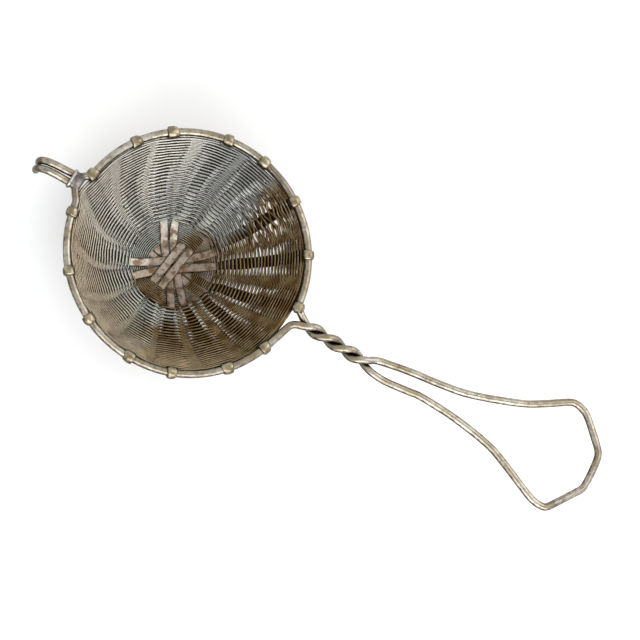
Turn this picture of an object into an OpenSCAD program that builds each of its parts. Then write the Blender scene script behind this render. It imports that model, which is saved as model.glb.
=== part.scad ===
// Woven wire tea strainer: a deep round basket on a wire rim, with a twisted wire handle that
// opens into a long loop, and a double hook opposite the handle.
// Origin at the centre of the rim, in the rim's own plane. +Z points up out of the basket and
// +X runs along the handle.

/* [Rim] */
// Outside diameter of the rim ring
rim_outer_d = 70.8; // [69:0.2:73]
// Thickness of the stout frame wire
wire_d = 2.2; // [2:0.05:2.3]

/* [Knuckles] */
// Length along the rim wire of a knuckle, the end of an upright wrapped over the wire
knuckle_len = 2.9; // [2.4:0.1:3.6]
// Thickest diameter of a knuckle
knuckle_d = 3.45; // [3.2:0.05:3.5]

/* [Basket] */
// Radius of the basket's wall where it meets the rim
basket_top_r = 32.8; // [32.4:0.1:33]
// Radius of the flat middle of the base
base_flat_r = 7.5; // [7:0.1:8]
// Thickness of the woven wall, two wires and a strip
wall_t = 1.3; // [1.1:0.05:1.4]

/* [Strips] */
// Width of a flat strip
strip_w = 2.45; // [2.2:0.05:2.5]
// Thickness of a flat strip
strip_t = 0.36; // [0.3:0.02:0.38]

/* [Handle] */
// Where the twisted part of the handle ends, measured from the rim's centre
twist_end_x = 59; // [58:0.5:62]
// Length of the loop beyond the twist
loop_len = 71.5; // [60:0.5:90]
// Distance along the handle for half a turn of the twist
half_turn = 5.95; // [5.6:0.05:6.4]

/* [Hook] */
// Distance from the rim's centre to the middle of the hook's tips
hook_reach = 48.4; // [46:0.2:52]
// How far the hook's tips hang below the rim's plane
hook_drop = 5.5; // [4.5:0.5:8]

/* [Hidden] */
wire_r = wire_d / 2;
rim_r = rim_outer_d / 2 - wire_r;

// The wall follows an ellipse with this radius and this depth, cut off at the basket's top.
ellipse_r = 36.4;
ellipse_depth = 40;
basket_top_z = -1.3;

// The angle of each upright in the wall, and of the knuckle that it leans to at the rim.
upright_at = [4, 31, 55, 83, 107, 133, 157, 181, 205, 228, 252, 273, 295, 318, 342];
knuckle_at = [5, 31, 57.5, 81, 101, 127.5, 146, 172.5, 193, 220.5, 245.5, 271, 292.5, 319, 340];
lean_from_r = 24;

// Weave: the base rows run between these radii, and the wall's three bands above them.
base_weft_in = 8.3;
base_weft_out = 12.3;
base_weft_t = 0.5;
lower_weft_out = 19.5;
middle_weft_out = 26.5;

// Strips: they leave the straight line of their pair at the first of these radii, reach the edge
// of the base rows at base_weft_out, and stand at their upright's angle from the second.
pair_turn_r = 6.7;
upright_from_r = 15.5;
layer_step = strip_t + 0.02;
clear = 0.02;

// Rim wire: the angles at which each half starts and ends.
left_start = 187.5;
left_end = 341;
right_start = 6;
right_end = 172.5;

// Necks and twist: where the necks meet, and the angle of the first crossing.
neck_x = rim_r + 4;
first_cross_x = rim_r + 5.6;
strand_r = wire_r + 0.02;
twist_steps = 26;

// Hook: where the collar sits and how the two prongs lie in it.
collar_x = -rim_r - 3.4;
collar_len = 2.2;
collar_wall = 0.55;
prong_y_left = -0.9;
prong_y_right = 2.1;

wire_sides = 12;
round_fn = 48;
rim_fn = 96;

// ---------- wires ----------

function unit(v) = v / norm(v);

// One point of a smooth curve between b and c, with neighbours a and d.
function smooth_point(a, b, c, d, t) =
    0.5 * (2 * b + (c - a) * t + (2 * a - 5 * b + 4 * c - d) * t * t
    + (3 * b - a - 3 * c + d) * t * t * t);

// A smooth curve through all the points of a path.
function smooth_path(path, steps) = [
    for (i = [0 : len(path) - 2])
        for (s = [0 : steps - 1])
            smooth_point(path[max(i - 1, 0)], path[i], path[i + 1],
                         path[min(i + 2, len(path) - 1)], s / steps),
    path[len(path) - 1]
];

function heading(path, i) =
    unit(path[min(i + 1, len(path) - 1)] - path[max(i - 1, 0)]);

// The ring of points round the wire at one point of its path.
function wire_ring(path, i, side, r, n) =
    let (t = heading(path, i), u = unit(cross(side, t)), v = cross(t, u))
    [for (k = [0 : n - 1]) path[i] + r * (cos(360 * k / n) * u + sin(360 * k / n) * v)];

// A round wire swept along a path. The side vector is never parallel to the path.
module wire(path, side, r = wire_r, n = wire_sides) {
    last = len(path) - 1;
    points = [for (i = [0 : last]) each wire_ring(path, i, side, r, n)];
    walls = [
        for (i = [0 : last - 1])
            for (k = [0 : n - 1])
                let (a = i * n + k, b = i * n + (k + 1) % n)
                each [[a, a + n, b + n], [a, b + n, b]]
    ];
    start_cap = [[for (k = [0 : n - 1]) k]];
    end_cap = [[for (k = [n - 1 : -1 : 0]) last * n + k]];
    polyhedron(points, concat(start_cap, walls, end_cap));
}

// ---------- rim ----------

module rim_arc(start, end) {
    rotate([0, 0, start])
        rotate_extrude(angle = end - start, $fn = rim_fn)
            translate([rim_r, 0])
                circle(d = wire_d, $fn = round_fn);
}

module rim_wire_left() {
    color("#b3a283") rim_arc(left_start, left_end);
}

module rim_wire_right() {
    color("#b3a283") rim_arc(right_start, right_end);
}

// ---------- twisted handle ----------

function on_rim(angle) = [rim_r * cos(angle), rim_r * sin(angle), 0];

// Angle of a strand round the handle's axis: the left strand crosses on top first.
function strand_angle(x, phase) = 90 + phase - (x - first_cross_x) * 180 / half_turn;

function strand_point(x, phase) =
    [x, strand_r * cos(strand_angle(x, phase)), strand_r * sin(strand_angle(x, phase))];

function strand_path(phase) = [
    for (s = [0 : twist_steps])
        strand_point(neck_x + (twist_end_x - neck_x) * s / twist_steps, phase)
];

left_neck = [
    on_rim(left_end),
    [rim_r - 0.7, -7.2, 0],
    [rim_r + 0.2, -3.9, 0.1],
    [rim_r + 1.0, -2.0, 0.35],
    [rim_r + 2.6, -1.15, 0.6],
    strand_point(neck_x, 0)
];

right_neck = [
    on_rim(right_start),
    [rim_r + 1.1, 2.5, -0.15],
    [rim_r + 2.6, 1.6, -0.45],
    strand_point(neck_x, 180)
];

function without_last(path) = [for (i = [0 : len(path) - 2]) path[i]];

module twist_strand_left() {
    color("#b3a283")
        wire(concat(without_last(smooth_path(left_neck, 4)), strand_path(0)), [0, 0, 1]);
}

module twist_strand_right() {
    color("#b3a283")
        wire(concat(without_last(smooth_path(right_neck, 4)), strand_path(180)), [0, 0, 1]);
}

// ---------- handle loop ----------

// A point of the loop, given along and across the handle for the nominal loop length.
function loop_at(along, across) =
    [twist_end_x + along * loop_len / 71.5, across, 0];

loop_right = [
    strand_point(twist_end_x, 180),
    loop_at(2.3, 2.2), loop_at(6.5, 3.3), loop_at(12.5, 4.6), loop_at(20.7, 6.0),
    loop_at(29.7, 8.2), loop_at(43.3, 13.5), loop_at(49.6, 17.1), loop_at(55.5, 21.2)
];

loop_end = [
    loop_at(55.5, 21.2), loop_at(57.2, 22.0), loop_at(59.4, 21.9), loop_at(62.1, 20.8),
    loop_at(66.6, 16.9), loop_at(69.6, 14.0), loop_at(70.6, 11.8), loop_at(71.3, 6.0),
    loop_at(71.3, 2.2), loop_at(70.4, 0.4), loop_at(68.3, -2.9), loop_at(65.3, -7.2),
    loop_at(63.9, -8.3), loop_at(60.2, -8.3)
];

loop_left = [
    loop_at(60.2, -8.3), loop_at(54.8, -6.5), loop_at(44.8, -2.6), loop_at(39.8, -1.4),
    loop_at(32.9, -0.5), loop_at(26.3, 0.0), loop_at(17.9, -0.1), loop_at(14.2, -0.8),
    loop_at(7.7, -1.7), loop_at(2.7, -1.6),
    strand_point(twist_end_x, 0)
];

module handle_wire_right() {
    color("#b3a283") wire(smooth_path(loop_right, 3), [0, 0, 1]);
}

module handle_wire_left() {
    color("#b3a283") wire(smooth_path(loop_left, 3), [0, 0, 1]);
}

module handle_loop_end() {
    color("#b3a283") wire(smooth_path(loop_end, 3), [0, 0, 1]);
}

// ---------- hook ----------

// From the end of a rim half, in through the collar, out along the hook and down at its tip. A
// prong leans to one side on its way, and its tip lies a little past or short of hook_reach.
function prong_path(rim_angle, y, lean, past) =
    let (tip_x = -hook_reach - past)
    [
        on_rim(rim_angle),
        [-rim_r - 1.0, (rim_r * sin(rim_angle) + y) / 2, 0],
        [collar_x + 0.9, y, 0],
        [collar_x - 1.5, y, 0],
        [tip_x + 4.6, y + lean * 0.4, 0.25],
        [tip_x + 2.0, y + lean * 0.75, -0.15],
        [tip_x + 0.5, y + lean * 0.95, -1.6],
        [tip_x, y + lean, -3.4],
        [tip_x + 0.1, y + lean, -hook_drop]
    ];

module hook_prong_left() {
    color("#b3a283") wire(smooth_path(prong_path(left_start, prong_y_left, -0.7, -0.2), 4), [0, 1, 0]);
}

module hook_prong_right() {
    color("#b3a283") wire(smooth_path(prong_path(right_end, prong_y_right, -1.4, 0.2), 4), [0, 1, 0]);
}

module collar_outline(r) {
    translate([0, prong_y_left]) circle(r = r, $fn = round_fn);
    translate([0, prong_y_right]) circle(r = r, $fn = round_fn);
    translate([-r, prong_y_left]) square([2 * r, prong_y_right - prong_y_left]);
}

module hook_collar() {
    color("#b8a878")
        translate([collar_x - collar_len / 2, 0, 0])
            rotate([0, 90, 0])
                linear_extrude(collar_len)
                    difference() {
                        collar_outline(wire_r + collar_wall);
                        collar_outline(wire_r + clear);
                    }
}

// ---------- knuckles ----------

// The end of an upright wrapped over the rim wire: a crisp lip at one side, a taper at the other.
module knuckle(i) {
    half = knuckle_len / 2;
    bore = wire_r + 0.06;
    big = knuckle_d / 2;
    color("#b39b69")
        rotate([0, 0, knuckle_at[i]])
            translate([rim_r - 0.02, 0, 0])
                rotate([90, 0, 0])
                    rotate_extrude($fn = round_fn)
                        polygon([
                            [bore, -half], [big - 0.25, -half], [big - 0.05, -half * 0.7],
                            [big, -half * 0.2], [big - 0.05, half * 0.3],
                            [big - 0.3, half * 0.8], [bore + 0.15, half], [bore, half]
                        ]);
}

// ---------- basket ----------

// Height of the middle of the wall at a radius.
function wall_z(r) =
    basket_top_z + ellipse_depth * (sqrt(1 - pow(basket_top_r / ellipse_r, 2))
    - sqrt(1 - pow(max(r, base_flat_r) / ellipse_r, 2)));

function wall_slope(r) = (wall_z(r + 0.01) - wall_z(r - 0.01)) / 0.02;

// A point at a distance from the middle of the wall, measured square to it.
function off_wall(r, d) =
    let (s = r < base_flat_r + 0.1 ? 0 : wall_slope(r), n = sqrt(1 + s * s))
    [r - d * s / n, wall_z(r) + d / n];

// Outline of a band of wall between two radii, from under to over the middle.
function band_outline(radii, under, over) = concat(
    [for (r = radii) off_wall(r, under)],
    [for (k = [len(radii) - 1 : -1 : 0]) off_wall(radii[k], over)]
);

function spread(from, to, n) = [for (k = [0 : n]) from + (to - from) * k / n];

module wall_band(from, to, n) {
    rotate_extrude($fn = rim_fn)
        polygon(band_outline(spread(from, to, n), -wall_t / 2, wall_t / 2));
}

// ---------- strips ----------

// Each strip: its direction across the base, its distance to the side of the centre, the angle
// at the edge of the base and the upright of each of its two arms (-1 is cut short), its layer at
// the centre, and whether its arms pass over the base rows.
strips = [
    [82.4, 1.25, [86, 3], [254.5, 10], 1.5, false],
    [82.4, -1.5, [75, -1], [271.5, 11], 1.5, false],
    [172.5, 1.4, [179, 7], [346, 14], -1.5, false],
    [172.5, -1.4, [164, 6], [361, 0], -1.5, false],
    [128, 1.25, [132.5, 5], [298, 12], -0.5, true],
    [128, -1.35, [116.5, 4], [316, 13], -0.5, true],
    [37.3, 1.45, [48, 2], [209, 8], 0.5, true],
    [37.3, -1.55, [29, 1], [228.5, 9], 0.5, true]
];

function polar(r, a) = [r * cos(a), r * sin(a)];

// One arm in plan: straight across the middle, out over the base, up the wall, then leaning
// to its knuckle. An arm with no upright is cut short under the base rows.
function arm_path(dir, side, arm) =
    let (angle = arm[0], upright = arm[1])
    concat(
        [polar(pair_turn_r - 1, dir) + polar(side, dir + 90)],
        upright < 0 ? [polar(base_weft_out - 1, angle)]
            : [polar(base_weft_out, angle), polar(upright_from_r, upright_at[upright]),
               polar(lean_from_r, upright_at[upright]),
               polar(basket_top_r + 3, knuckle_at[upright])]
    );

function reversed(path) = [for (i = [len(path) - 1 : -1 : 0]) path[i]];

function strip_path(s) =
    concat(reversed(arm_path(s[0] + 180, -s[1], s[3])), arm_path(s[0], s[1], s[2]));

// The point beside a path's corner where the edge of a ribbon of this half width turns.
function edge_point(path, i, half) =
    let (t1 = unit(path[max(i, 1)] - path[max(i, 1) - 1]),
         t2 = unit(path[min(i + 1, len(path) - 1)] - path[min(i, len(path) - 2)]),
         n = unit([-t1[1] - t2[1], t1[0] + t2[0]]))
    path[i] + n * half / (n * [-t1[1], t1[0]]);

module strip_plan(s) {
    path = strip_path(s);
    polygon(concat(
        [for (i = [0 : len(path) - 1]) edge_point(path, i, strip_w / 2)],
        [for (i = [len(path) - 1 : -1 : 0]) edge_point(path, i, -strip_w / 2)]
    ));
}

// Distance of a strip from the middle of the wall: its layer at the centre, over or under the
// base rows, then in the middle of the wall.
function strip_lift(s, r) =
    let (centre = s[4] * layer_step,
         side = (s[5] ? 1 : -1) * (base_weft_t + strip_t + 0.06) / 2)
    r < 6.6 ? centre : r < 8.1 ? centre + (side - centre) * (r - 6.6) / 1.5
    : r < base_weft_out ? side
    : r < base_weft_out + 1.5 ? side * (base_weft_out + 1.5 - r) / 1.5 : 0;

strip_radii = [0, 6.6, 7.35, 8.1, 10, base_weft_out, base_weft_out + 0.75, base_weft_out + 1.5,
               16, 18.5, 21, 23.5, 25.5, 27.5, 29.2, 30.6, 31.6, basket_top_r];

module strip_skin(s, grow) {
    half = strip_t / 2 + grow;
    rotate_extrude($fn = rim_fn)
        polygon(concat(
            [for (r = strip_radii) off_wall(r, strip_lift(s, r) - half)],
            [for (k = [len(strip_radii) - 1 : -1 : 0])
                off_wall(strip_radii[k], strip_lift(s, strip_radii[k]) + half)]
        ));
}

module strip_solid(i, grow) {
    intersection() {
        strip_skin(strips[i], grow);
        translate([0, 0, -40])
            linear_extrude(50)
                strip_plan(strips[i]);
    }
}

module warp_strip(i) {
    color("#b3a18c") strip_solid(i, 0);
}

// ---------- weaving wire ----------

// The rows of one stretch of wall as a closed band, with the uprights running through it.
module weft_band(from, to, n) {
    color("#8d8b7c")
        difference() {
            wall_band(from, to, n);
            for (i = [0 : len(strips) - 1]) strip_solid(i, clear);
        }
}

module weft_base() {
    color("#8a7b5c")
        rotate_extrude($fn = rim_fn)
            polygon(band_outline(spread(base_weft_in, base_weft_out, 4),
                                 -base_weft_t / 2, base_weft_t / 2));
}

module weft_lower() {
    weft_band(base_weft_out + 0.1, lower_weft_out, 4);
}

module weft_middle() {
    weft_band(lower_weft_out + 0.1, middle_weft_out, 5);
}

module weft_upper() {
    weft_band(middle_weft_out + 0.1, basket_top_r, 6);
}

rim_wire_left();
rim_wire_right();
twist_strand_left();
twist_strand_right();
handle_wire_left();
handle_wire_right();
handle_loop_end();
hook_prong_left();
hook_prong_right();
hook_collar();
knuckle(0);  // knuckle_01
knuckle(1);  // knuckle_02
knuckle(2);  // knuckle_03
knuckle(3);  // knuckle_04
knuckle(4);  // knuckle_05
knuckle(5);  // knuckle_06
knuckle(6);  // knuckle_07
knuckle(7);  // knuckle_08
knuckle(8);  // knuckle_09
knuckle(9);  // knuckle_10
knuckle(10);  // knuckle_11
knuckle(11);  // knuckle_12
knuckle(12);  // knuckle_13
knuckle(13);  // knuckle_14
knuckle(14);  // knuckle_15
warp_strip(0);  // warp_strip_1
warp_strip(1);  // warp_strip_2
warp_strip(2);  // warp_strip_3
warp_strip(3);  // warp_strip_4
warp_strip(4);  // warp_strip_5
warp_strip(5);  // warp_strip_6
warp_strip(6);  // warp_strip_7
warp_strip(7);  // warp_strip_8
weft_base();
weft_lower();
weft_middle();
weft_upper();
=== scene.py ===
"""Woven wire tea strainer: one long frame wire, strip ends wrapped over the rim, flat strips, and a
single wire woven round them in a spiral. Sizes are in millimetres until a mesh is made."""

import math

import bpy
import numpy as np
from mathutils import Matrix, Vector


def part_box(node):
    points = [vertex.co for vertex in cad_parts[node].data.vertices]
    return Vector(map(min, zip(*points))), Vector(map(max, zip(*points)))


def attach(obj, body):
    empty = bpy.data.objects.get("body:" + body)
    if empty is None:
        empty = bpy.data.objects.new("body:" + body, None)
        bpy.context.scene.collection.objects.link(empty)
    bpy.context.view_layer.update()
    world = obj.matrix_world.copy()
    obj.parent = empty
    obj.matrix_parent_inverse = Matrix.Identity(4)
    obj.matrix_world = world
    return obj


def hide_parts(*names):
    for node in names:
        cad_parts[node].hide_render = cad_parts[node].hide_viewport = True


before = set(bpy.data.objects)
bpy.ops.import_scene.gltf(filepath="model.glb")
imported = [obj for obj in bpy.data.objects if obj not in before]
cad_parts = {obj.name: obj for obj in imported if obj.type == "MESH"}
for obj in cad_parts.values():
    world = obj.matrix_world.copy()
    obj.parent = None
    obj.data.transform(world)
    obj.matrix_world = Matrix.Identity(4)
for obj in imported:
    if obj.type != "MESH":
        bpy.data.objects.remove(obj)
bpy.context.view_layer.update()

MM = 0.001

# ---------- sizes taken from the frame ----------


def box_mm(node):
    lo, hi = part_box(node)
    return np.array(lo) / MM, np.array(hi) / MM


rim_lo, rim_hi = box_mm("rim_wire_left")
wire_r = (rim_hi[2] - rim_lo[2]) / 2
rim_r = -rim_lo[1] - wire_r
loop_far_x = box_mm("handle_loop_end")[1][0] - wire_r
tip_x_left = box_mm("hook_prong_left")[0][0] + wire_r
tip_x_right = box_mm("hook_prong_right")[0][0] + wire_r
hook_low_z = box_mm("hook_prong_left")[0][2]
basket_low_z = box_mm("warp_strip_3")[0][2]

# ---------- smooth curves and noise ----------


def unit(v):
    return v / np.linalg.norm(v, axis=-1, keepdims=True)


def smooth_path(points, steps=12):
    """A curve through all the points."""
    p = np.array(points, float)
    ends = np.vstack([2 * p[0] - p[1], p, 2 * p[-1] - p[-2]])
    t = np.linspace(0, 1, steps, endpoint=False)[:, None]
    spans = []
    for a, b, c, d in zip(ends, ends[1:], ends[2:], ends[3:]):
        spans.append(0.5 * (2 * b + (c - a) * t + (2 * a - 5 * b + 4 * c - d) * t * t
                            + (3 * b - a - 3 * c + d) * t ** 3))
    return np.vstack(spans + [p[-1:]])


def along(path):
    """Distance along a path at each of its points."""
    return np.concatenate([[0], np.cumsum(np.linalg.norm(np.diff(path, axis=0), axis=1))])


def resample(path, step):
    """The same path with points at even steps."""
    run = along(path)
    at = np.linspace(0, run[-1], max(2, int(round(run[-1] / step)) + 1))
    return np.stack([np.interp(at, run, path[:, k]) for k in range(path.shape[1])], 1)


def relax(path, rounds):
    """Takes the corners out of a path without moving its ends."""
    p = path.copy()
    for _ in range(rounds):
        p[1:-1] = 0.25 * p[:-2] + 0.5 * p[1:-1] + 0.25 * p[2:]
    return p


def ripple(points, size, seed):
    """Smooth noise between about -1 and 1, with features of about this size."""
    p = np.asarray(points, float)
    source = np.random.default_rng(seed)
    waves = unit(source.normal(size=(10, p.shape[1])))
    waves *= math.pi / size * source.uniform(0.6, 1.4, size=(10, 1))
    phases = source.uniform(0, 2 * math.pi, 10)
    return np.sin(p @ waves.T + phases).sum(1) / 3.6


def ease(t):
    t = np.clip(t, 0, 1)
    return t * t * (3 - 2 * t)


# ---------- meshes ----------


def make_piece(name, points, faces, across=None):
    """A smooth-shaded object from points in millimetres. A strip's points also keep how far across
    it they lie, from -1 to 1, for the finish."""
    mesh = bpy.data.meshes.new(name)
    mesh.from_pydata((np.asarray(points) * MM).tolist(), [], faces)
    mesh.shade_smooth()
    if across is not None:
        kept = mesh.attributes.new("across", "FLOAT", "POINT")
        kept.data.foreach_set("value", np.asarray(across, np.float32))
    piece = bpy.data.objects.new(name, mesh)
    bpy.context.collection.objects.link(piece)
    return piece


def tube_faces(rings, sides):
    """Quads between neighbouring rings, and a cap at each end."""
    i = np.arange(rings - 1)[:, None] * sides
    k = np.arange(sides)[None, :]
    n = (k + 1) % sides
    quads = np.stack([i + k, i + n, i + sides + n, i + sides + k], -1).reshape(-1, 4)
    last = (rings - 1) * sides
    caps = [list(range(sides - 1, -1, -1)), list(range(last, last + sides))]
    return quads.tolist() + caps


def headings(path):
    return unit(np.gradient(path, axis=0))


def carried_sides(path):
    """A side vector at each point that turns with the path and never twists round it."""
    t = headings(path)
    side = np.cross(t[0], [0.0, 0.0, 1.0])
    if np.linalg.norm(side) < 0.2:
        side = np.cross(t[0], [0.0, 1.0, 0.0])
    sides = [side / np.linalg.norm(side)]
    for k in range(1, len(path)):
        s = sides[-1] - t[k] * (sides[-1] @ t[k])
        sides.append(s / np.linalg.norm(s))
    return np.array(sides)


def swept(name, path, section, sides=None, growth=None, is_strip=False):
    """A closed section carried along a path. The section's first coordinate lies along the side
    vector and its second square to the side and the path. Growth scales the section at each point,
    or each of its coordinates."""
    u = carried_sides(path) if sides is None else sides
    v = unit(np.cross(headings(path), u))
    g = np.ones(len(path)) if growth is None else growth
    offsets = section[None, :, :] * g.reshape(len(path), 1, -1)
    points = path[:, None, :] + offsets[..., :1] * u[:, None, :] + offsets[..., 1:] * v[:, None, :]
    count = len(section)
    across = np.tile(section[:, 0] / section[:, 0].max(), len(path)) if is_strip else None
    return make_piece(name, points.reshape(-1, 3), tube_faces(len(path), count), across)


def circle(r, count):
    a = np.arange(count) * 2 * math.pi / count
    return r * np.stack([np.cos(a), np.sin(a)], 1)


# ---------- the frame wire ----------

twist_end_x = 59.0
loop_len = loop_far_x - twist_end_x
half_turn = 5.95
left_start, left_end = 187.5, 341.0
right_start, right_end = 6.0, 172.5
neck_x = rim_r + 4
first_cross_x = rim_r + 5.6
strand_r = wire_r + 0.02
collar_x = -rim_r - 3.4
prong_y_left, prong_y_right = -0.9, 2.1
end_round = 0.5


def on_rim(angle):
    a = math.radians(angle)
    return [rim_r * math.cos(a), rim_r * math.sin(a), 0]


def strand_point(x, phase):
    a = math.radians(90 + phase - (x - first_cross_x) * 180 / half_turn)
    return [x, strand_r * math.cos(a), strand_r * math.sin(a)]


def strand(phase):
    return [strand_point(x, phase) for x in np.linspace(neck_x, twist_end_x, 60)]


def loop_at(along_x, across):
    """A point of the loop, stretched to end where the frame's loop does."""
    return [twist_end_x + along_x * loop_len / outline_len, across, 0]


left_neck = [[rim_r - 0.7, -7.2, 0], [rim_r + 0.2, -3.9, 0.1], [rim_r + 1.0, -2.0, 0.35],
             [rim_r + 2.6, -1.15, 0.6]]
right_neck = [[rim_r + 1.1, 2.5, -0.15], [rim_r + 2.6, 1.6, -0.45]]
# The loop from the twist's end, as distances along the handle and across it.
outline_len = 71.35
loop_outline = [
    (2.7, -1.6), (7.7, -1.7), (14.2, -0.8), (17.9, -0.1), (26.3, 0), (32.9, -0.5), (39.8, -1.4),
    (44.8, -2.6), (54.8, -6.5), (60.2, -8.3), (63.9, -8.3), (65.3, -7.2), (68.3, -2.9),
    (70.4, 0.4), (71.3, 2.2), (71.3, 6.0), (70.6, 11.8), (69.6, 14.0), (66.6, 16.9),
    (62.1, 20.8), (59.4, 21.9), (57.2, 22.0), (55.5, 21.2), (49.6, 17.1), (43.3, 13.5),
    (29.7, 8.2), (20.7, 6.0), (12.5, 4.6), (6.5, 3.3), (2.3, 2.2)]


def prong(rim_angle, y, lean, tip_x):
    """From the rim out through the band, along the hook and down at its tip. The two prongs lie
    nearly side by side, so past the band each is drawn in towards the middle between them."""
    drawn_in = 0.1 * ((prong_y_left + prong_y_right) / 2 - y)
    return [
        [-rim_r - 1.0, (on_rim(rim_angle)[1] + y) / 2, 0],
        [collar_x + 0.9, y, 0],
        [collar_x - 1.5, y + lean * 0.15 + drawn_in, 0],
        [tip_x + 4.6, y + lean * 0.5 + drawn_in, 0.35],
        [tip_x + 2.0, y + lean * 0.8 + 0.3 * drawn_in, -0.05],
        [tip_x + 0.5, y + lean * 0.95, -1.6],
        [tip_x, y + lean, -3.4],
        [tip_x + 0.1, y + lean, hook_low_z]]


left_prong = prong(left_start, prong_y_left, -0.7, tip_x_left)
right_prong = prong(right_end, prong_y_right, -1.4, tip_x_right)


def arc(start, end):
    return [on_rim(a) for a in np.linspace(start, end, int(abs(end - start) / 2.5) + 1)]


def frame_wire_path():
    """The whole wire: one hook prong, round one side of the rim, out along the twist, round the
    loop, back through the twist and round the rim's other side to the second prong."""
    points = (
        left_prong[::-1] + arc(left_start, left_end) + left_neck
        + strand(0) + [loop_at(*p) for p in loop_outline] + strand(180)[::-1]
        + right_neck[::-1] + arc(right_start, right_end) + right_prong)
    return relax(resample(smooth_path(points, 8), 0.4), 3)


def hand_bent(path):
    """Small wanders of a wire that was shaped by hand."""
    free = ease((np.abs(np.hypot(path[:, 0], path[:, 1]) - rim_r) - 0.5) / 3)
    reach = ease((path[:, 0] - twist_end_x - 4) / 10)
    sway = np.stack([ripple(path, 14, seed) for seed in (11, 12, 13)], 1)
    size = 0.10 * (1 - free) + 0.22 * reach
    return path + sway * size[:, None]


wire_path = hand_bent(frame_wire_path())
wire_run = along(wire_path)
from_end = np.minimum(wire_run, wire_run[-1] - wire_run)
wire_growth = np.sqrt(np.clip(1 - (1 - np.minimum(from_end / end_round, 1)) ** 2, 0.02, 1))
wire_growth *= 1 + 0.012 * ripple(wire_run[:, None], 5, 21)
frame_wire = swept("frame_wire", wire_path, circle(wire_r, 24), growth=wire_growth)

# ---------- the band on the hook ----------


def prong_centres(x):
    """Where the two prongs run at one distance along the hook."""
    out = []
    for angle, path in ((left_start, left_prong), (right_end, right_prong)):
        p = smooth_path([on_rim(angle)] + path, 12)[:48]
        out.append(np.interp(-x, -p[:, 0], p[:, 1]))
    return out


def band_ring(x, wall, waist, count=48):
    """Outline round both prongs: two round ends joined by a slightly pinched middle."""
    low, high = prong_centres(x)
    mid, half = (low + high) / 2, (high - low) / 2
    r = wire_r + wall
    ring = []
    for a in np.arange(count) * 2 * math.pi / count:
        y = mid + (half + r) * math.cos(a)
        inner = min(abs(y - mid), half)
        end = abs(y - mid) - half
        height = math.sqrt(max(r * r - max(end, 0) ** 2, 0))
        pinch = 1 - waist * (1 - (inner / half) ** 2)
        ring.append([x, y, math.copysign(height * pinch, math.sin(a)) if abs(math.sin(a)) > 1e-6 else 0])
    return np.array(ring)


# Rings along the band: distance from collar_x, thickness over the wires, and how far the middle is
# pinched in. A ridge stands at the hook's end, and a thin web spreads towards the basket.
band_profile = [(-1.2, -0.06, 0.3), (-1.18, 0.3, 0.08), (-1.05, 0.48, 0), (-0.8, 0.55, 0),
                (-0.5, 0.52, 0), (-0.3, 0.36, 0.04), (-0.15, 0.18, 0.12), (0.1, 0.12, 0.16),
                (0.5, 0.14, 0.14), (1.0, 0.16, 0.16), (1.6, 0.14, 0.22), (2.1, 0.04, 0.32),
                (2.6, -0.15, 0.5)]
band_rings = [band_ring(collar_x + dx, wall, waist) for dx, wall, waist in band_profile]
band_points = np.vstack(band_rings)
band_points += 0.035 * np.stack([ripple(band_points, 1.8, s) for s in (31, 32, 33)], 1)
hook_band = make_piece("hook_band", band_points, tube_faces(len(band_rings), 48))

# ---------- the bowl's shape ----------

ellipse_r, ellipse_depth = 36.4, 40.0
basket_top_r, basket_top_z = 32.8, -1.3
base_flat_r = 7.5
strip_t, strip_w, strip_w_in_wall = 0.36, 2.45, 3.3
# The angle of each upright in the wall, and of the knuckle that it leans to at the rim.
upright_at = np.array([4, 31, 55, 83, 107, 133, 157, 181, 205, 228, 252, 273, 295, 318, 342], float)
knuckle_at = np.array([5, 31, 57.5, 81, 101, 127.5, 146, 172.5, 193, 220.5, 245.5, 271, 292.5,
                       319, 340])
upright_count = len(upright_at)
base_shift = np.array([-0.62, 0.1, 0])
# Where the mouth is drawn in by the handle and bulges by the hook: size, direction and width.
mouth_pulled = [(0.5, 355, 13), (-1.05, 183, 8.5)]


def wall_z(r):
    """Height of the middle of the wall: flat across the base, then up an ellipse."""
    soft = (np.abs(r) ** 10 + base_flat_r ** 10) ** 0.1
    top = ellipse_depth * math.sqrt(1 - (basket_top_r / ellipse_r) ** 2)
    return basket_top_z + top - ellipse_depth * np.sqrt(1 - (soft / ellipse_r) ** 2)


def wall_slope(r):
    return (wall_z(r + 0.02) - wall_z(r - 0.02)) / 0.04


def wall_normal(r, angle):
    """Unit vectors square to the wall, into the bowl."""
    s = wall_slope(r)
    n = np.sqrt(1 + s * s)
    return np.stack([-s * np.cos(angle) / n, -s * np.sin(angle) / n, 1 / n], -1)


def bump_at(angle, degrees, width):
    """A smooth bump of height 1 round the bowl at one angle."""
    off = np.degrees(np.angle(np.exp(1j * (angle - math.radians(degrees)))))
    return np.exp(-(off / width) ** 2)


def bowl_point(r, angle, lift):
    """A point at a distance from the middle of the wall. The bowl's mouth is a little out of round,
    and its wall has shallow dents, away from the base and the rim."""
    grow = (r / basket_top_r) ** 6
    pulled = sum(size * bump_at(angle, at, width) for size, at, width in mouth_pulled)
    dent = 0.14 * ripple(np.stack([r * np.cos(angle), r * np.sin(angle)], -1).reshape(-1, 2), 16, 41)
    dent = dent.reshape(np.shape(r)) * ease((r - 9) / 6) * (1 - ease((r - 29) / 4))
    rr = r - grow * pulled
    flat = np.stack([rr * np.cos(angle), rr * np.sin(angle), wall_z(r)], -1)
    flat += base_shift * ((basket_top_z - wall_z(r)) / (basket_top_z - wall_z(0)))[..., None]
    return flat + wall_normal(r, angle) * (lift + dent)[..., None]


def lean_share(r):
    """How far an upright has leaned towards its knuckle at this radius."""
    return ease((r - 20) / (basket_top_r - 19))


# ---------- flat strips ----------

pair_turn_r, upright_from_r = 6.7, 15.0
base_weft_out = 12.3
layer_step = strip_t + 0.02
base_side = 0.33
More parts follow.
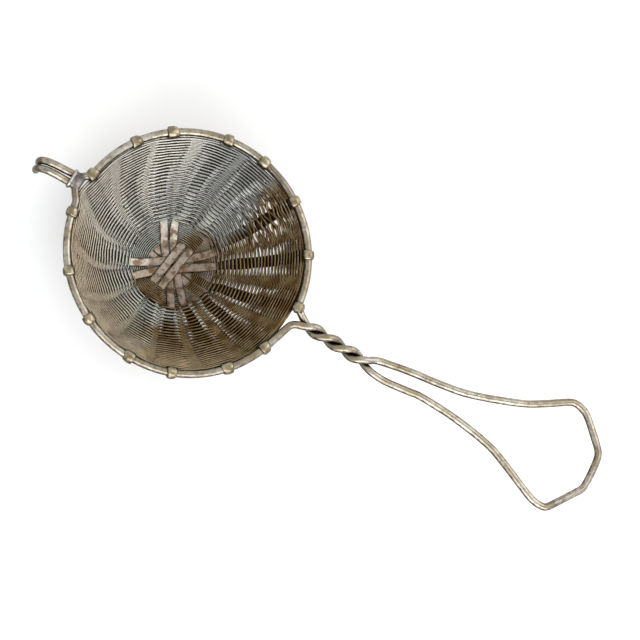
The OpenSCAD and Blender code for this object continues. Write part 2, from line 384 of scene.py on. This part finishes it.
# Each strip: its direction across the base, its distance to the side of the centre, the angle at
# the edge of the base and the upright of each of its two arms (-1 is cut short), its layer at the
# centre, and whether its arms pass over the base rows.
strips = [
    (82.4, 1.25, (86, 3), (254.5, 10), 1.5, False), (82.4, -1.5, (75, -1), (271.5, 11), 1.5, False),
    (172.5, 1.25, (179, 7), (346, 14), -1.5, False), (172.5, -1.25, (164, 6), (361, 0), -1.5, False),
    (128, 1.25, (132.5, 5), (298, 12), -0.5, True), (128, -1.35, (116.5, 4), (316, 13), -0.5, True),
    (37.3, 1.35, (48, 2), (209, 8), 0.5, True), (37.3, -1.35, (29, 1), (228.5, 9), 0.5, True)]


def polar(r, degrees):
    a = math.radians(degrees)
    return np.array([r * math.cos(a), r * math.sin(a)])


def arm_plan(direction, side, arm):
    """One arm in plan, from near the centre out to the rim."""
    angle, upright = arm
    inner = [polar(d, direction) + polar(side, direction + 90) for d in (1.5, 3.5, pair_turn_r - 1)]
    if upright < 0:
        return inner + [polar(base_weft_out - 1, angle)]
    edge = [polar(base_weft_out, angle)]
    wall, lean = upright_at[upright], knuckle_at[upright] - upright_at[upright]
    return inner + edge + [polar(r, wall + lean * float(lean_share(r))) for r in
                           (upright_from_r, 17, 19, 21, 23.5, 26, 28, 30, 31.5, basket_top_r)]


def strip_lift(layer, over, r):
    centre = layer * layer_step
    side = base_side if over else -base_side
    lift = np.where(r < 6.6, centre, centre + (side - centre) * ease((r - 6.6) / 1.4))
    return np.where(r < base_weft_out, lift, side * (1 - ease((r - base_weft_out) / 1.0)))


def ribbon_section(width, thickness, edge_points=5):
    """A flat strip's section with rounded edges and a slight crown."""
    r = thickness / 2
    right = [(width / 2 - r + r * math.cos(a), r * math.sin(a))
             for a in np.linspace(-math.pi / 2, math.pi / 2, edge_points)]
    top = [(x * (width / 2 - r), r + 0.03 * (1 - x * x)) for x in (0.6, 0.2, -0.2, -0.6)]
    left = [(-x, -y) for x, y in right]
    under = [(x * (width / 2 - r), -r) for x in (-0.6, -0.2, 0.2, 0.6)]
    return np.array(right + top + left + under)


def make_strip(number, spec):
    direction, side, plus, minus, layer, over = spec
    plan = np.array(arm_plan(direction + 180, -side, minus)[::-1] + arm_plan(direction, side, plus))
    plan = relax(resample(smooth_path(plan, 10), 0.35), 4)
    r = np.hypot(plan[:, 0], plan[:, 1])
    angle = np.arctan2(plan[:, 1], plan[:, 0])
    path = bowl_point(r, angle, strip_lift(layer, over, r))
    tips = []
    for end in (0, -1):
        if r[end] > basket_top_r - 0.5:
            out = np.array([math.cos(angle[end]), math.sin(angle[end]), 0])
            tips.append([path[end] + out * a + np.array([0, 0, b]) for a, b in ((0.2, 0.6), (0.3, 1.2))])
        else:
            tips.append([])
    path = np.vstack(tips[0][::-1] + [path] + tips[1]) if tips[0] or tips[1] else path
    path = relax(resample(path, 0.35), 2)
    r = np.hypot(path[:, 0], path[:, 1])
    angle = np.arctan2(path[:, 1], path[:, 0])
    across = unit(np.cross(wall_normal(np.minimum(r, basket_top_r), angle), headings(path)))
    uneven = 1 + 0.025 * ripple(along(path)[:, None], 6, 50 + number)
    wider = 1 + (strip_w_in_wall / strip_w - 1) * ease((r - base_weft_out) / 7)
    return swept(f"flat_strip_{number}", path, ribbon_section(strip_w, strip_t), across,
                 np.stack([uneven * wider, uneven], 1), is_strip=True)


flat_strips = [make_strip(i + 1, spec) for i, spec in enumerate(strips)]

# ---------- strip ends wrapped over the rim ----------

# The wrap's radius across its width: one crisp edge, a crown and a taper.
wrap_profile = [(-1.52, 1.16), (-1.5, 1.5), (-1.36, 1.66), (-1.0, 1.74), (-0.3, 1.78), (0.4, 1.74),
                (0.95, 1.62), (1.3, 1.46), (1.5, 1.3), (1.54, 1.14)]
wrap_from, wrap_to = 206.0, -126.0


def make_wrap(number):
    source = np.random.default_rng(70 + number)
    place = knuckle_at[number - 1]
    mirror = 1 if source.random() < 0.7 else -1
    wide, crown = source.uniform(0.9, 1.06), source.uniform(0.93, 1.05)
    tilt = math.radians(source.uniform(-7, 7))
    inner = wire_r + 0.01
    outline = [(x * wide * mirror, inner + (rad - inner) * crown) for x, rad in wrap_profile]
    outline += [(x * wide * mirror, inner) for x in (1.3, 0.5, -0.5, -1.3)]
    outline = np.array(outline)
    turns = np.radians(np.linspace(wrap_from, wrap_to, 64))
    rings = []
    for a in turns:
        part = (wrap_from - math.degrees(a)) / (wrap_from - wrap_to)
        fade = ease(part / 0.05) * ease((1 - part) / 0.07)
        rad = inner + (outline[:, 1] - inner) * (0.45 + 0.55 * fade)
        wobble = 0.1 * math.sin(2.2 * a + number)
        wider = 1 - 0.1 * math.cos(a) - 0.1 * (1 - fade)
        w = outline[:, 0] * wider + tilt * 0.6 * math.cos(a) + wobble * 0.6
        rings.append(np.stack([rad * math.cos(a), w, rad * math.sin(a)], 1))
    local = np.vstack(rings)
    local += 0.035 * np.stack([ripple(local, 1.1, 100 * number + s) for s in (1, 2, 3)], 1)
    count = len(outline)
    c, s = math.cos(math.radians(place)), math.sin(math.radians(place))
    centre = wire_path[np.argmin(np.linalg.norm(wire_path - [rim_r * c, rim_r * s, 0], axis=1))]
    x = local[:, 0] * c - local[:, 1] * s
    y = local[:, 0] * s + local[:, 1] * c
    points = np.stack([x + centre[0], y + centre[1], local[:, 2] + centre[2]], 1)
    return make_piece(f"rim_wrap_{number:02d}", points, tube_faces(len(turns), count))


rim_wraps = [make_wrap(i + 1) for i in range(upright_count)]

# ---------- the weave ----------

# Half the wire's width along the wall, and how much deeper it is through the wall.
weft_r, weft_deep = 0.29, 1.4
weave_depth = 0.48
base_rows_in, base_pitch = 6.8, 0.6
wall_pitch = 0.575
weft_top_r = 33.05
base_depth = 0.16
wavy_at, wavy_width = 212, 24
loose_at, loose_width = 57, 15
# Where the wire changes side between pairs of strips, at the inner and outer edge of the base rows.
edges_inner = np.array([14.2, 58.5, 104, 149.3, 194.5, 240.6, 286.6, 330.2])
edges_outer = np.array([15.1, 61.4, 101.2, 147.8, 194, 241.4, 284.7, 331])


def turn_between(a, b):
    """The turn from angle b to angle a, between -180 and 180 degrees."""
    return (a - b + 180) % 360 - 180


def weave_offset(turned, r):
    """Distance of the wire from the middle of the wall, over and under the uprights in turn."""
    at = upright_at + turn_between(knuckle_at, upright_at) * lean_share(r)[:, None]
    off = turn_between(turned[:, None], at)
    k = np.argmin(np.abs(off), 1)
    rows = np.arange(len(k))
    off, here = off[rows, k], at[rows, k]
    beside = at[rows, (k + np.where(off > 0, 1, -1)) % upright_count]
    gap = np.abs(turn_between(beside, here)) / 2
    half = np.minimum(np.degrees((strip_w_in_wall / 2 - 0.1) / r), 0.62 * gap)
    g = np.clip((np.abs(off) - half) / (0.8 * (gap - half)), 0, 1) ** 0.9
    passed = np.round((turned - here) / 360) * upright_count + k
    depth = weave_depth * (1 - 0.6 * ease((r - 32) / 1.0))
    return np.where(passed % 2 == 0, 1, -1) * depth * np.cos(g * math.pi / 2)


def base_offset(turned, r):
    """The same on the base, where the wire goes over and under pairs of strips."""
    a = np.mod(turned, 360)
    t = np.clip((r - pair_turn_r) / (base_weft_out - pair_turn_r), 0, 1)
    count, near = np.zeros_like(a), np.full_like(a, 360.0)
    for inner, outer in zip(edges_inner, edges_outer):
        edge = inner + t * (outer - inner)
        count += a >= edge
        near = np.minimum(near, np.abs(turn_between(a, edge)))
    half = 2.5 + np.clip(r - 8, 0, 4)
    side = np.where(count % 2 == 1, -1, 1)
    return side * base_depth * np.sin(np.clip(near / half, 0, 1) * math.pi / 2)


profile_r = np.linspace(base_rows_in, weft_top_r, 600)
profile_run = along(np.stack([profile_r, wall_z(profile_r)], 1))
base_run = np.interp(base_weft_out, profile_r, profile_run)
base_turns = base_run / base_pitch
all_turns = base_turns + (profile_run[-1] - base_run) / wall_pitch


def weft_radius(turn):
    run = np.where(turn < base_turns, turn * base_pitch, base_run + (turn - base_turns) * wall_pitch)
    return np.interp(run, profile_run, profile_r)


def weft_path(turn_from, turn_to, step):
    turn = np.arange(turn_from, turn_to, step / 360)
    turned = turn * 360
    r = weft_radius(turn)
    angle = np.radians(turned)
    change = ease((turn - base_turns) * 360 / 10)
    lift = (1 - change) * base_offset(turned, r) + change * weave_offset(turned, r)
    flat = bowl_point(r, angle, np.zeros_like(r))
    # Neighbouring rows wander together, each row a little on its own. Beside the hook they are
    # wavy, and in one place on the handle's side they are loose and cross each other.
    at = np.mod(turned, 360)
    run = turned[:, None] * r[:, None] / 57.3
    wavy = np.exp(-((at - wavy_at) / wavy_width) ** 2) * ease((r - 23) / 6)
    loose = np.exp(-((at - loose_at) / loose_width) ** 2) * ease((r - 20.5) / 2) * ease((32.4 - r) / 1.2)
    drift = 0.15 * ripple(flat, 3.6, 61) + 0.035 * ripple(run, 3, 62)
    drift += wavy * 0.14 * ripple(flat, 3.0, 63) + loose * 0.42 * ripple(run, 4.5, 66)
    drift *= ease((r - 8) / 4) * ease((weft_top_r - r) / 1.5)
    lift = lift + 0.05 * ripple(flat, 2.4, 64) + wavy * 0.12 * ripple(flat, 2.2, 65)
    lift = lift + loose * 0.24 * ripple(run, 3.5, 67)
    s = wall_slope(r)
    shifted = r + drift / np.sqrt(1 + s * s)
    # The last turn lies under the rim, outside the uprights.
    last = ease((turn - all_turns) * 8)
    path = bowl_point(shifted, angle, lift * (1 - last) - 0.5 * last)
    return path, wall_normal(shifted, angle)


band_radii = [("weft_base", base_weft_out), ("weft_lower", 19.5), ("weft_middle", 26.5),
              ("weft_upper", weft_top_r)]
band_steps = [3.0, 1.9, 1.45, 1.2]


def turn_at(r):
    if r >= weft_top_r:
        return all_turns
    t = np.linspace(0, all_turns, 4000)
    return float(np.interp(r, weft_radius(t), t))


weave_rows = []
turn_from = 0.0
for (node, outer), step in zip(band_radii, band_steps):
    turn_to = turn_at(outer) + (1 if node == "weft_upper" else 0)
    path, normals = weft_path(turn_from, turn_to, step)
    thick = np.full(len(path), 0.76 if node == "weft_base" else 1.0)
    rows = swept(node.replace("weft", "weave"), path, circle(weft_r, 8) * [weft_deep, 1],
                 sides=normals, growth=thick)
    weave_rows.append(rows)
    turn_from = turn_to

# ---------- finishes ----------


class Nodes:
    """Short calls to add nodes to one material."""

    def __init__(self, name):
        self.material = bpy.data.materials.new(name)
        self.material.use_nodes = True
        self.tree = self.material.node_tree
        self.tree.nodes.clear()
        self.shader = self.add("ShaderNodeBsdfPrincipled")
        out = self.add("ShaderNodeOutputMaterial")
        self.tree.links.new(self.shader.outputs[0], out.inputs["Surface"])
        coordinates = self.add("ShaderNodeTexCoord")
        self.place = coordinates.outputs["Object"]
        self.surface = self.add("ShaderNodeSeparateXYZ")
        self.feed(self.surface.inputs[0], coordinates.outputs["Normal"])

    def add(self, kind, **settings):
        node = self.tree.nodes.new(kind)
        for key, value in settings.items():
            setattr(node, key, value)
        return node

    def feed(self, socket, value):
        if isinstance(value, bpy.types.NodeSocket):
            self.tree.links.new(value, socket)
        else:
            socket.default_value = value

    def noise(self, size_mm, detail=3.0, roughness=0.5, where=None, distortion=0.0):
        """Noise of about 0 to 1 with features of this size."""
        node = self.add("ShaderNodeTexNoise")
        self.feed(node.inputs["Vector"], where or self.place)
        self.feed(node.inputs["Scale"], 1 / (size_mm * MM))
        self.feed(node.inputs["Detail"], detail)
        self.feed(node.inputs["Roughness"], roughness)
        self.feed(node.inputs["Distortion"], distortion)
        return node.outputs["Fac"]

    def ramp(self, value, low, high, to_low=0.0, to_high=1.0):
        """Maps low..high to to_low..to_high, smoothly and held beyond both ends."""
        node = self.add("ShaderNodeMapRange", interpolation_type="SMOOTHSTEP")
        for key, v in zip(("Value", "From Min", "From Max", "To Min", "To Max"),
                          (value, low, high, to_low, to_high)):
            self.feed(node.inputs[key], v)
        return node.outputs["Result"]

    def mix(self, share, a, b):
        node = self.add("ShaderNodeMix", data_type="RGBA")
        self.feed(node.inputs[0], share)
        self.feed(node.inputs[6], (*a, 1) if isinstance(a, tuple) else a)
        self.feed(node.inputs[7], (*b, 1) if isinstance(b, tuple) else b)
        return node.outputs[2]

    def maths(self, operation, a, b=0.0):
        node = self.add("ShaderNodeMath", operation=operation)
        self.feed(node.inputs[0], a)
        self.feed(node.inputs[1], b)
        return node.outputs[0]

    def out_from_centre(self):
        """Distance from the bowl's axis."""
        flat = self.add("ShaderNodeVectorMath", operation="MULTIPLY")
        self.feed(flat.inputs[0], self.place)
        self.feed(flat.inputs[1], (1, 1, 0))
        length = self.add("ShaderNodeVectorMath", operation="LENGTH")
        self.feed(length.inputs[0], flat.outputs["Vector"])
        return length.outputs["Value"]

    def tea_share(self):
        """1 where tea has stained the metal, 0 where it is clean. The wall is stained on the side
        by the handle, and the base nearly all over."""
        patches = self.ramp(self.noise(9, 3), 0.3, 0.7, -0.25, 0.25)
        wall, base = self.side_of(-10, -2, 15), self.side_of(-30, -11, 2)
        share = self.add("ShaderNodeMix", data_type="FLOAT")
        self.feed(share.inputs[0], self.ramp(self.out_from_centre(), 11.5 * MM, 15 * MM))
        self.feed(share.inputs[2], base)
        self.feed(share.inputs[3], wall)
        return self.ramp(self.maths("ADD", share.outputs[0], patches), 0.2, 0.9)

    def crevice_shade(self, reach_mm, low=0.35, high=0.85):
        """Mask for painted shade: 1 in the corners between pieces, 0 on open metal."""
        node = self.add("ShaderNodeAmbientOcclusion", samples=8)
        self.feed(node.inputs["Distance"], reach_mm * MM)
        return self.ramp(node.outputs["AO"], low, high, 1.0, 0.0)

    def side_shade(self, low=0.25, high=0.95):
        """Mask for painted shade: 0 on surfaces that face up, 1 on the sides and about half on
        undersides.
        """
        side = self.ramp(self.surface.outputs["Z"], low, high, 1.0, 0.0)
        return self.maths("MULTIPLY", side, self.ramp(self.surface.outputs["Z"], -0.95, -0.2, 0.45, 1))

    def side_of(self, direction, low_mm, high_mm):
        """0 to 1 across the object in a level direction, given in degrees."""
        node = self.add("ShaderNodeVectorMath", operation="DOT_PRODUCT")
        self.feed(node.inputs[0], self.place)
        a = math.radians(direction)
        self.feed(node.inputs[1], (math.cos(a), math.sin(a), 0))
        return self.ramp(node.outputs["Value"], low_mm * MM, high_mm * MM)

    def patch(self, direction, from_axis_mm, width_mm, strength):
        """A soft round patch at a direction and distance from the axis, widest at the rim's height."""
        node = self.add("ShaderNodeVectorMath", operation="DISTANCE")
        self.feed(node.inputs[0], self.place)
        self.feed(node.inputs[1], (*(polar(from_axis_mm, direction) * MM).tolist(), 0))
        return self.ramp(node.outputs["Value"], 0, width_mm * MM, strength, 0)

    def bump(self, height, depth_mm, strength=1.0, onto=None):
        node = self.add("ShaderNodeBump")
        self.feed(node.inputs["Height"], height)
        self.feed(node.inputs["Distance"], depth_mm * MM)
        self.feed(node.inputs["Strength"], strength)
        if onto is not None:
            self.feed(node.inputs["Normal"], onto)
        return node.outputs["Normal"]

    def finish(self, colour, roughness, normal, metallic=1.0):
        self.feed(self.shader.inputs["Base Color"], colour)
        self.feed(self.shader.inputs["Roughness"], roughness)
        self.feed(self.shader.inputs["Normal"], normal)
        self.feed(self.shader.inputs["Metallic"], metallic)
        return self.material


def wire_finish():
    n = Nodes("old_silvered_wire")
    colour = n.mix(n.ramp(n.noise(7, 4), 0.38, 0.6), (0.30, 0.255, 0.18), (0.45, 0.41, 0.34))
    # Darker and brighter stretches of the rim: direction, width, strength and colour. The bright silvery
    # stretch at 150 degrees is a painted highlight.
    for direction, width, strength, tone in (
            (75, 16, 0.75, (0.13, 0.105, 0.075)), (295, 24, 0.5, (0.22, 0.185, 0.13)),
            (150, 14, 0.6, (0.58, 0.555, 0.50)), (182, 9, 0.6, (0.16, 0.125, 0.085))):
        colour = n.mix(n.patch(direction, rim_r, width, strength), colour, tone)
    colour = n.mix(n.ramp(n.noise(2.6, 4, 0.6), 0.5, 0.68, 0.0, 0.7), colour, (0.21, 0.175, 0.145))
    # Painted shade on the wire's sides and undersides, broken up by noise.
    side = n.maths("ADD", n.side_shade(), n.ramp(n.noise(1.6, 4, 0.6), 0.3, 0.7, -0.35, 0.35))
    colour = n.mix(n.ramp(side, 0.1, 0.85, 0.0, 0.95), colour, (0.06, 0.042, 0.025))
    colour = n.mix(n.ramp(n.noise(2.2, 5, 0.6), 0.55, 0.72, 0.0, 0.75), colour, (0.14, 0.10, 0.055))
    colour = n.mix(n.ramp(n.noise(0.5, 4, 0.6), 0.62, 0.78), colour, (0.06, 0.043, 0.028))
    # Painted shade in the corners between the wire's strands and neighbouring pieces.
    colour = n.mix(n.crevice_shade(2.4, 0.4, 0.9), colour, (0.022, 0.012, 0.006))
    roughness = n.ramp(n.noise(1.4, 5, 0.6), 0.3, 0.7, 0.17, 0.42)
    normal = n.bump(n.noise(2.5, 2), 0.14)
    normal = n.bump(n.noise(0.35, 4, 0.6), 0.02, onto=normal)
    return n.finish(colour, roughness, normal)


def brass_finish():
    n = Nodes("worn_brass")
    colour = n.mix(n.ramp(n.noise(2.5, 4), 0.4, 0.62), (0.25, 0.205, 0.13), (0.42, 0.37, 0.26))
    # Painted shade on the knuckles' sides and undersides, broken up by noise.
    side = n.maths("ADD", n.side_shade(0.15, 0.9), n.ramp(n.noise(1.0, 4), 0.3, 0.7, -0.35, 0.3))
    colour = n.mix(n.ramp(side, 0.05, 0.75, 0.0, 0.95), colour, (0.055, 0.038, 0.02))
    colour = n.mix(n.ramp(n.noise(0.9, 5, 0.6), 0.56, 0.74, 0.0, 0.7), colour, (0.13, 0.09, 0.045))
    # Painted shade in the corners round the knuckles.
    colour = n.mix(n.crevice_shade(1.2), colour, (0.022, 0.012, 0.005))
    roughness = n.ramp(n.noise(0.8, 4, 0.6), 0.3, 0.7, 0.2, 0.4)
    normal = n.bump(n.noise(1.1, 2), 0.10)
    normal = n.bump(n.noise(0.25, 4, 0.6), 0.02, onto=normal)
    return n.finish(colour, roughness, normal)


def solder_finish():
    n = Nodes("dull_silver_solder")
    colour = n.mix(n.ramp(n.noise(1.6, 4), 0.4, 0.62), (0.13, 0.115, 0.105), (0.24, 0.22, 0.205))
    # Painted highlight on the ridge at the hook's end.
    ridge = n.side_of(180, -collar_x + 0.1, -collar_x + 0.45)
    colour = n.mix(ridge, colour, (0.46, 0.43, 0.40))
    # Painted shade on the band's sides and undersides, broken up by noise.
    side = n.maths("ADD", n.side_shade(0.2, 0.95), n.ramp(n.noise(1.0, 4), 0.3, 0.7, -0.3, 0.3))
    colour = n.mix(n.ramp(side, 0.1, 0.9, 0.0, 0.93), colour, (0.05, 0.038, 0.03))
    # Painted shade in the corners between the band and the prongs.
    colour = n.mix(n.crevice_shade(1.5), colour, (0.022, 0.015, 0.01))
    roughness = n.ramp(n.noise(0.7, 4, 0.6), 0.3, 0.7, 0.2, 0.42)
    normal = n.bump(n.noise(1.0, 3), 0.08)
    return n.finish(colour, roughness, normal)


def strip_finish():
    n = Nodes("dull_flat_strip")
    tea = n.tea_share()
    colour = n.mix(n.ramp(n.noise(3.5, 5, 0.6), 0.4, 0.62), (0.29, 0.235, 0.185), (0.45, 0.40, 0.345))
    # The topmost pair on the base is rubbed brighter.
    height = n.add("ShaderNodeSeparateXYZ")
    n.feed(height.inputs[0], n.place)
    top_layer = n.ramp(height.outputs["Z"], (wall_z(0) + 0.38) * MM, (wall_z(0) + 0.5) * MM, 0, 0.7)
    colour = n.mix(top_layer, colour, (0.56, 0.50, 0.42))
    stains = n.ramp(n.noise(2.0, 5, 0.65), 0.47, 0.6, 0.0, 0.85)
    colour = n.mix(stains, colour, (0.13, 0.075, 0.035))
    colour = n.mix(n.maths("MULTIPLY", tea, 0.5), colour, (0.13, 0.078, 0.038))
    edge = n.maths("ABSOLUTE", n.add("ShaderNodeAttribute", attribute_name="across").outputs["Fac"])
    colour = n.mix(n.ramp(edge, 0.66, 1.0, 0.0, 0.85), colour, (0.05, 0.028, 0.014))
    # In the wall the strips lie behind the weave: grey where clean, nearly black where tea-stained,
    # which is tea stain and painted shade together.
    wall = n.mix(tea, (0.42, 0.42, 0.37), (0.035, 0.02, 0.01))
    colour = n.mix(n.ramp(n.out_from_centre(), 11.8 * MM, 13.6 * MM, 0.0, 0.95), colour, wall)
    # Painted shade in the corners, made stronger where tea dirt has stained the strips.
    corner_shade_and_dirt = n.maths("MULTIPLY", n.crevice_shade(1.4), n.ramp(tea, 0, 1, 0.45, 1))
    colour = n.mix(corner_shade_and_dirt, colour, (0.022, 0.012, 0.006))
    roughness = n.ramp(n.noise(0.8, 4, 0.6), 0.3, 0.7, 0.36, 0.6)
    normal = n.bump(n.noise(0.9, 3), 0.06)
    normal = n.bump(n.noise(0.3, 4, 0.6), 0.03, onto=normal)
    return n.finish(colour, roughness, normal)


def weave_finish():
    n = Nodes("stained_weaving_wire")
    silver = n.mix(n.ramp(n.noise(6, 3), 0.4, 0.62), (0.50, 0.495, 0.45), (0.42, 0.45, 0.39))
    for direction, low, high, tone in ((88, 4, 24, (0.25, 0.25, 0.235)),
                                       (170, 8, 24, (0.62, 0.59, 0.52)),
                                       (240, 10, 27, (0.42, 0.35, 0.255))):
        silver = n.mix(n.side_of(direction, low, high), silver, tone)
    brown = n.mix(n.ramp(n.noise(4, 4), 0.4, 0.62), (0.27, 0.195, 0.10), (0.16, 0.095, 0.037))
    brown = n.mix(n.side_of(285, 20, 31), brown, (0.40, 0.31, 0.19))
    colour = n.mix(n.tea_share(), silver, brown)
    colour = n.mix(n.ramp(n.noise(1.2, 5, 0.6), 0.58, 0.75), colour, (0.08, 0.048, 0.022))
    # Painted shade on the sides of the rows across the base.
    base_row_shade = n.maths("MULTIPLY", n.side_shade(0.45, 0.97),
                    n.ramp(n.out_from_centre(), 12 * MM, 13.5 * MM, 0.9, 0))
    colour = n.mix(base_row_shade, colour, (0.03, 0.018, 0.008))
    glint = n.maths("MULTIPLY", n.patch(52, 28, 9, 0.8), n.ramp(n.noise(1.6, 3), 0.5, 0.6))
    colour = n.mix(glint, colour, (0.62, 0.60, 0.56))
    # Painted shade in the corners between the rows and the strips.
    colour = n.mix(n.crevice_shade(0.9, 0.4, 0.95), colour, (0.018, 0.01, 0.005))
    roughness = n.ramp(n.noise(0.9, 4, 0.6), 0.3, 0.7, 0.2, 0.46)
    normal = n.bump(n.noise(0.3, 3, 0.6), 0.02)
    return n.finish(colour, roughness, normal)


def floor_finish():
    n = Nodes("pale_floor")
    colour = n.mix(n.noise(60, 2), (0.93, 0.93, 0.93), (0.95, 0.95, 0.95))
    return n.finish(colour, 0.9, n.bump(n.noise(3, 2), 0.01), metallic=0.0)


def dress(pieces, material, replaced):
    for piece, nodes in zip(pieces, replaced):
        piece.data.materials.append(material)
        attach(piece, "root")
        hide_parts(*nodes)


dress([frame_wire], wire_finish(),
      [["rim_wire_left", "rim_wire_right", "twist_strand_left", "twist_strand_right",
        "handle_wire_left", "handle_wire_right", "handle_loop_end",
        "hook_prong_left", "hook_prong_right"]])
brass = brass_finish()
dress([hook_band], solder_finish(), [["hook_collar"]])
dress(rim_wraps, brass, [[f"knuckle_{i + 1:02d}"] for i in range(upright_count)])
dress(flat_strips, strip_finish(), [[f"warp_strip_{i + 1}"] for i in range(8)])
dress(weave_rows, weave_finish(), [[node] for node, _ in band_radii])

# ---------- floor, light and camera ----------

floor_size = 1.6
floor_mesh = bpy.data.meshes.new("floor")
floor_edge = floor_size / 2
cells = 8
grid = [(floor_size * i / cells - floor_edge, floor_size * j / cells - floor_edge, basket_low_z * MM)
        for j in range(cells + 1) for i in range(cells + 1)]
tiles = [[j * (cells + 1) + i, j * (cells + 1) + i + 1, (j + 1) * (cells + 1) + i + 1,
          (j + 1) * (cells + 1) + i] for j in range(cells) for i in range(cells)]
floor_mesh.from_pydata(grid, [], tiles)
floor = bpy.data.objects.new("floor", floor_mesh)
bpy.context.collection.objects.link(floor)
floor.data.materials.append(floor_finish())


def aimed(location, target, roll_to=None):
    """A camera-like matrix at a place, looking at a target. roll_to is an object direction and the
    picture angle at which it has to lie."""
    location, target = Vector(location), Vector(target)
    back = (location - target).normalized()
    right = Vector((0, 0, 1)).cross(back).normalized()
    up = back.cross(right)
    if roll_to is not None:
        direction, wanted = Vector(roll_to[0]), math.radians(roll_to[1])
        turn = math.atan2(direction.dot(up), direction.dot(right)) - wanted
        right, up = (right * math.cos(turn) + up * math.sin(turn),
                     up * math.cos(turn) - right * math.sin(turn))
    m = Matrix((right, up, back)).transposed().to_4x4()
    m.translation = location
    return m


def area_light(name, location, target, size, power, colour=(1, 1, 1)):
    data = bpy.data.lights.new(name, "AREA")
    data.shape = "RECTANGLE"
    data.size, data.size_y = size
    data.energy = power
    data.color = colour
    lamp = bpy.data.objects.new(name, data)
    lamp.matrix_world = aimed(location, target)
    bpy.context.collection.objects.link(lamp)


view_azimuth, view_elevation, view_distance = 246.8, 74.55, 1.2
aim = (0.04151, 0.00350, 0.0)
along_x_in_picture = -31.81
az, el = math.radians(view_azimuth), math.radians(view_elevation)
eye = [a + view_distance * d for a, d in
       zip(aim, (math.cos(az) * math.cos(el), math.sin(az) * math.cos(el), math.sin(el)))]
camera_data = bpy.data.cameras.new("camera")
camera_data.sensor_width = 36
camera_data.lens = 240.6
camera_data.clip_start, camera_data.clip_end = 0.05, 10
camera = bpy.data.objects.new("camera", camera_data)
camera.matrix_world = aimed(eye, aim, ((1, 0, 0), along_x_in_picture))
bpy.context.collection.objects.link(camera)
bpy.context.scene.camera = camera

centre = (0.03, 0, -0.01)
picture_up = camera.matrix_world.to_3x3() @ Vector((0, 1, 0))
picture_right = camera.matrix_world.to_3x3() @ Vector((1, 0, 0))


def around(right, up, height):
    """A place given by how far right and up it is in the picture, and its height."""
    level = picture_right * right + picture_up * up
    return (centre[0] + level.x, centre[1] + level.y, height)


area_light("window", around(-0.1, -0.75, 0.5), centre, (1.2, 0.7), 8, (0.94, 0.97, 1.0))
area_light("side_box", around(0.6, 0.2, 0.6), centre, (0.7, 0.7), 2.5, (1.0, 0.98, 0.95))

world = bpy.data.worlds.new("studio")
world.use_nodes = True
world.node_tree.nodes["Background"].inputs["Color"].default_value = (0.82, 0.82, 0.82, 1)
world.node_tree.nodes["Background"].inputs["Strength"].default_value = 1.1
bpy.context.scene.world = world
bpy.context.scene.view_settings.view_transform = "Standard"
